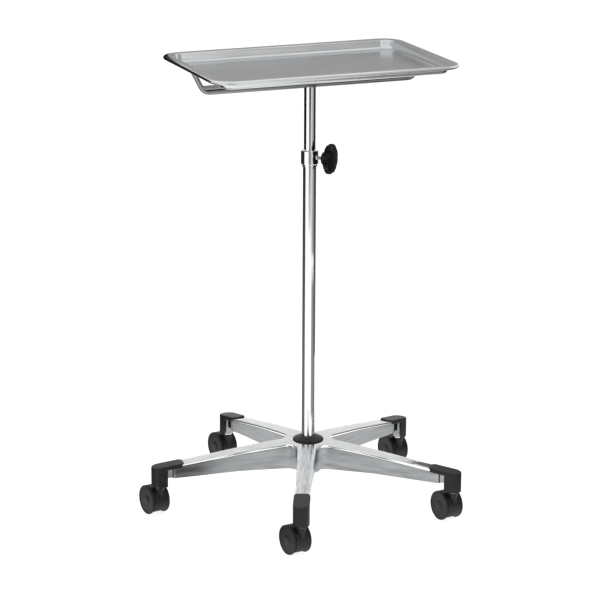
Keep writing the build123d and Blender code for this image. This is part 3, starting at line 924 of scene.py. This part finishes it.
@dataclass
class ClampScrew:
    """The clamp screw, with its thread cut between the collar and the knob."""

    workshop: Workshop
    radius: float = 3.95
    pitch: float = 1.25
    thread_depth: float = 0.6
    start: float = 13.6
    thread_start: float = 15.5
    thread_end: float = 27.0
    runout: float = 0.05
    end: float = 45.0
    axis_angle: float = -42.6
    height: float = 679.7
    sides: int = 32
    rows_per_turn: int = 8
    crease: float = 50.0

    def build(self) -> bpy.types.Object:
        """Turn the screw, in place of the plain CAD stud.

        Returns:
            The threaded screw.
        """
        count = round((self.thread_end - self.thread_start) / self.pitch * self.rows_per_turn)
        step = (self.thread_end - self.thread_start) / count
        stations = [(self.start, False), (self.thread_start - self.runout, False)]
        stations += [(self.thread_start + step * k, True) for k in range(count + 1)]
        stations += [(self.thread_end + self.runout, False), (self.end, False)]
        heading = math.radians(self.axis_angle)
        out = Vector((math.cos(heading), math.sin(heading), 0.0))
        beside = Vector((-math.sin(heading), math.cos(heading), 0.0))
        lift = Vector((0, 0, self.height))
        corners = []
        for station, threaded in stations:
            for side in range(self.sides):
                angle = math.tau * side / self.sides
                reach = self.radius
                if threaded:
                    phase = (station / self.pitch - side / self.sides) % 1.0
                    reach -= self.thread_depth * (1 - abs(2 * phase - 1))
                rise = Vector((0, 0, reach * math.sin(angle)))
                spot = out * station + beside * (reach * math.cos(angle)) + rise
                corners.append(tuple((spot + lift) * MILLIMETRE))
        faces = [tuple(reversed(range(self.sides)))]
        for row in range(len(stations) - 1):
            for side in range(self.sides):
                after = (side + 1) % self.sides
                here = row * self.sides
                ahead = here + self.sides
                faces.append((here + side, here + after, ahead + after, ahead + side))
        faces.append(tuple(range((len(stations) - 1) * self.sides, len(stations) * self.sides)))
        screw = self.workshop.add_piece(
            "threaded_clamp_screw", corners, faces, Stock.ZINC, "knob", "plain_steel"
        )
        split = screw.modifiers.new("kept_creases", "EDGE_SPLIT")
        split.split_angle = math.radians(self.crease)
        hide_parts("clamp_screw")
        return screw


@dataclass
class Post:
    """Telescopic post with its collar, bushes and fixing."""

    workshop: Workshop

    def build(self) -> None:
        """Dress the tubes, the collar and the hidden fixing."""
        for node in ("inner_tube", "outer_tube", "clamp_collar"):
            self.workshop.dress(node, Stock.CHROME)
        for node in ("tube_top_plug", "post_anchor_plug", "post_washer", "post_bolt"):
            self.workshop.dress(node, Stock.ZINC)
        ClampScrew(self.workshop).build()
        self.workshop.dress("inner_tube_foot_bush", Stock.NATURAL_NYLON)
        self.workshop.dress("guide_bush", Stock.BLACK_NYLON)
        self.workshop.dress("clamp_pad", Stock.BRASS)
        self.workshop.dress("clamp_knob", Stock.KNOB_PHENOLIC)


@dataclass
class Base:
    """Star casting, leg caps and casters."""

    workshop: Workshop

    def build(self) -> None:
        """Dress the casting, its trim and the five casters."""
        self.workshop.dress("star_base", Stock.CASTING, crease=25.0, edge_mm=1.1)
        self.workshop.dress("hub_trim_ring", Stock.BLACK_NYLON)
        for number in LEG_NUMBERS:
            self.workshop.dress(f"leg_end_cap_{number}", Stock.BLACK_NYLON)
            self.workshop.dress(f"caster_stem_{number}", Stock.ZINC)
            self.workshop.dress(f"caster_hood_{number}", Stock.BLACK_NYLON)
            self.workshop.dress(f"caster_axle_{number}", Stock.ZINC)
            self.workshop.dress(f"caster_wheel_left_{number}", Stock.WHEEL_NYLON)
            self.workshop.dress(f"caster_wheel_right_{number}", Stock.WHEEL_NYLON)


@dataclass
class ReflectorCard:
    """A studio card round the stand that only shows in its reflections.

    Angles are in degrees round the post, seen from above, from the camera's direction.
    """

    name: str
    start: float
    end: float
    inner_radius: float
    outer_radius: float
    bottom: float
    top: float
    low_tone: float
    high_tone: float
    fade: float = 1.0
    steps: int = 24

    def build(self, camera_angle: float) -> bpy.types.Object:
        """Stand the card up.

        Args:
            camera_angle: direction of the camera round the post, in degrees.

        Returns:
            The card, seen only by mirror rays.
        """
        points = []
        for step in range(self.steps + 1):
            share = step / self.steps
            angle = math.radians(camera_angle + self.start + share * (self.end - self.start))
            for radius, height in ((self.inner_radius, self.bottom), (self.outer_radius, self.top)):
                points.append((radius * math.cos(angle), radius * math.sin(angle), height))
        faces = [(2 * k, 2 * k + 2, 2 * k + 3, 2 * k + 1) for k in range(self.steps)]
        mesh = bpy.data.meshes.new(self.name)
        mesh.from_pydata(points, [], faces)
        card = bpy.data.objects.new(self.name, mesh)
        bpy.context.scene.collection.objects.link(card)
        mesh.materials.append(self.tone())
        for ray in ("camera", "diffuse", "transmission", "volume_scatter", "shadow"):
            setattr(card, f"visible_{ray}", False)
        return card

    def tone(self) -> bpy.types.Material:
        """Mix a plain glowing tone that may change from the bottom to the top of the card.

        Returns:
            The card's material.
        """
        made = bpy.data.materials.new(f"{self.name}_tone")
        made.use_nodes = True
        tree = made.node_tree
        tree.nodes.clear()
        place = add_node(tree, "ShaderNodeTexCoord")
        parts = add_node(tree, "ShaderNodeSeparateXYZ", {"Vector": place.outputs["Generated"]})
        level = add_node(
            tree,
            "ShaderNodeMapRange",
            {
                "Value": parts.outputs["Z"],
                "From Max": self.fade,
                "To Min": self.low_tone,
                "To Max": self.high_tone,
            },
        )
        glow = add_node(tree, "ShaderNodeEmission", {"Strength": level.outputs["Result"]})
        add_node(tree, "ShaderNodeOutputMaterial", {"Surface": glow.outputs["Emission"]})
        made.cycles.emission_sampling = "NONE"
        return made


@dataclass
class Lamp:
    """A soft box, placed by its angle round the post from the camera's direction."""

    name: str
    angle: float
    distance: float
    height: float
    size: float
    watts: float

    def build(self, camera_angle: float, aim: Vector) -> bpy.types.Object:
        """Hang the lamp and turn it to the stand.

        Args:
            camera_angle: direction of the camera round the post, in degrees.
            aim: the point that it shines at.

        Returns:
            The lamp.
        """
        data = bpy.data.lights.new(self.name, "AREA")
        data.shape = "SQUARE"
        data.size = self.size
        data.energy = self.watts
        lamp = bpy.data.objects.new(self.name, data)
        bpy.context.scene.collection.objects.link(lamp)
        angle = math.radians(camera_angle + self.angle)
        lamp.location = (self.distance * math.cos(angle), self.distance * math.sin(angle), self.height)
        lamp.rotation_euler = (aim - lamp.location).to_track_quat("-Z", "Y").to_euler()
        lamp.visible_glossy = False
        return lamp


@dataclass
class Studio:
    """White floor and surround, soft lamps, reflector cards and the camera."""

    camera_place: Vector = field(default_factory=lambda: Vector((-1.8985, -4.6335, 1.7984)))
    camera_tilt: float = 74.437
    camera_turn: float = -22.09
    camera_roll: float = 0.257
    lens: float = 165.15
    floor_size: float = 24.0
    floor_drop: float = 0.0004
    floor_glow: float = 0.9
    floor_shade: float = 0.26
    bounce_shade: float = 0.8
    surround_light: float = 0.55
    lamps: tuple[Lamp, ...] = (
        Lamp("left_soft_box", -45.0, 3.2, 2.6, 1.6, 60.0),
        Lamp("right_soft_box", 52.0, 3.4, 2.2, 1.6, 38.0),
        Lamp("top_soft_box", 170.0, 1.2, 3.4, 2.2, 60.0),
    )
    cards: tuple[ReflectorCard, ...] = (
        ReflectorCard("left_black_flag", -152.0, -68.0, 1.0, 1.0, 0.0, 0.66, 0.14, 0.003, fade=0.8),
        ReflectorCard("left_floor_flag", -152.0, -68.0, 0.42, 1.0, 0.001, 0.0, 0.16, 0.16),
        ReflectorCard("right_black_flag", 84.0, 128.0, 1.0, 1.0, 0.0, 0.66, 0.16, 0.004, fade=0.8),
        ReflectorCard("right_edge_flag", 128.0, 160.0, 1.0, 1.0, 0.0, 0.75, 0.17, 0.13),
        ReflectorCard("right_floor_flag", 80.0, 128.0, 0.42, 1.0, 0.001, 0.0, 0.2, 0.2),
        ReflectorCard("right_pale_card", 28.0, 54.0, 1.9, 1.9, 0.0, 0.8, 0.7, 0.62),
        ReflectorCard("right_white_card", 24.0, 41.0, 1.9, 1.9, 0.8, 3.0, 1.25, 1.25),
        ReflectorCard("right_soft_card", 41.0, 54.0, 1.9, 1.9, 0.8, 3.0, 0.62, 0.62),
        ReflectorCard("right_grey_card", 54.0, 84.0, 1.9, 1.9, 0.0, 3.0, 0.28, 0.42, fade=0.2),
        ReflectorCard("right_paper_edge", 44.0, 84.0, 0.55, 1.7, 0.001, 0.0, 0.3, 0.3),
        ReflectorCard("camera_low_card", -14.0, 24.0, 2.2, 2.2, 0.0, 0.37, 0.6, 0.04),
        ReflectorCard("camera_high_card", -14.0, 24.0, 2.2, 2.2, 0.37, 1.3, 0.04, 0.04),
        ReflectorCard("back_grey_card", 128.0, 222.0, 0.42, 0.42, 0.87, 1.12, 0.38, 0.46),
        ReflectorCard("left_rim_flag", -130.0, -66.0, 0.36, 0.36, 0.78, 0.96, 0.01, 0.01),
        ReflectorCard("right_wall_flag", -152.0, -116.0, 1.0, 1.0, 1.0, 1.3, 0.06, 0.06),
        ReflectorCard("back_high_card", 150.0, 205.0, 1.9, 1.9, 1.75, 2.9, 1.2, 1.2),
        ReflectorCard("left_front_floor_card", -60.0, -23.0, 0.2, 0.41, 0.001, 0.0, 0.16, 0.16),
    )

    def camera_angle(self) -> float:
        """Find the camera's direction round the post.

        Returns:
            The angle from +X in degrees.
        """
        return math.degrees(math.atan2(self.camera_place.y, self.camera_place.x))

    def build(self) -> None:
        """Set up everything round the stand."""
        self.build_floor()
        self.build_surround()
        for card in self.cards:
            card.build(self.camera_angle())
        for lamp in self.lamps:
            lamp.build(self.camera_angle(), Vector((0.0, 0.0, 0.45)))
        self.build_camera()
        bpy.context.scene.view_settings.view_transform = "Standard"
        LOG.info("studio is ready")

    def seen_directly(self, tree: bpy.types.NodeTree) -> bpy.types.NodeSocket:
        """Add a switch that is 1 for camera, mirror and glass rays, and 0 for light on the object.

        Args:
            tree: node tree of the floor or the surround.

        Returns:
            The switch.
        """
        rays = add_node(tree, "ShaderNodeLightPath")
        mirror = add_node(
            tree,
            "ShaderNodeMath",
            {0: rays.outputs["Is Camera Ray"], 1: rays.outputs["Is Glossy Ray"]},
            operation="MAXIMUM",
        )
        glass = add_node(
            tree,
            "ShaderNodeMath",
            {0: mirror.outputs[0], 1: rays.outputs["Is Transmission Ray"]},
            operation="MAXIMUM",
        )
        return glass.outputs[0]

    def build_floor(self) -> None:
        """Lay the floor: white to the eye, with the shadow of the stand kept."""
        half_size = self.floor_size / 2
        signs = ((-1, -1), (1, -1), (1, 1), (-1, 1))
        corners = [(x * half_size, y * half_size, -self.floor_drop) for x, y in signs]
        mesh = bpy.data.meshes.new("studio_floor")
        mesh.from_pydata(corners, [], [(0, 1, 2, 3)])
        floor = bpy.data.objects.new("studio_floor", mesh)
        bpy.context.scene.collection.objects.link(floor)
        made = bpy.data.materials.new("white_paper_sweep")
        made.use_nodes = True
        tree = made.node_tree
        tree.nodes.clear()
        shade = self.floor_shade
        thin = add_node(tree, "ShaderNodeBsdfDiffuse", {"Color": (shade, shade, shade, 1.0)})
        glow = add_node(tree, "ShaderNodeEmission", {"Strength": self.floor_glow})
        seen = add_node(tree, "ShaderNodeAddShader", {0: thin.outputs[0], 1: glow.outputs[0]})
        bounce = self.bounce_shade
        plain = add_node(tree, "ShaderNodeBsdfDiffuse", {"Color": (bounce, bounce, bounce, 1.0)})
        mix = add_node(
            tree,
            "ShaderNodeMixShader",
            {0: self.seen_directly(tree), 1: plain.outputs[0], 2: seen.outputs[0]},
        )
        add_node(tree, "ShaderNodeOutputMaterial", {"Surface": mix.outputs[0]})
        mesh.materials.append(made)

    def build_surround(self) -> None:
        """Fill the surround with soft light, and with white where it is seen."""
        world = bpy.data.worlds.new("white_surround")
        world.use_nodes = True
        tree = world.node_tree
        tree.nodes.clear()
        soft = add_node(
            tree, "ShaderNodeBackground", {"Color": (1, 1, 1, 1), "Strength": self.surround_light}
        )
        white = add_node(tree, "ShaderNodeBackground", {"Color": (1, 1, 1, 1), "Strength": 1.0})
        mix = add_node(
            tree,
            "ShaderNodeMixShader",
            {0: self.seen_directly(tree), 1: soft.outputs[0], 2: white.outputs[0]},
        )
        add_node(tree, "ShaderNodeOutputWorld", {"Surface": mix.outputs[0]})
        bpy.context.scene.world = world

    def build_camera(self) -> None:
        """Stand the camera where the photograph was taken from."""
        data = bpy.data.cameras.new("photo_camera")
        data.lens = self.lens
        data.sensor_width = 36.0
        data.clip_end = 100.0
        camera = bpy.data.objects.new("photo_camera", data)
        bpy.context.scene.collection.objects.link(camera)
        aim = Matrix.Rotation(math.radians(self.camera_turn), 4, "Z")
        aim @= Matrix.Rotation(math.radians(self.camera_tilt), 4, "X")
        aim @= Matrix.Rotation(math.radians(self.camera_roll), 4, "Z")
        camera.matrix_world = Matrix.Translation(self.camera_place) @ aim
        bpy.context.scene.camera = camera


def plain(corners: tuple[Vector, Vector]) -> list[list[float]]:
    """Turn two corners into plain lists of numbers.

    Args:
        corners: the low and the high corner of a box.

    Returns:
        The same corners as lists.
    """
    return [list(corner) for corner in corners]


def main() -> None:
    """Dress the stand and set up the studio."""
    logging.basicConfig(level=logging.INFO, format="%(name)s: %(message)s")
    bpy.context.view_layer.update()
    workshop = Workshop()
    TrayFrame(workshop).build()
    Post(workshop).build()
    Base(workshop).build()
    Studio().build()


if __name__ == "__main__":
    main()
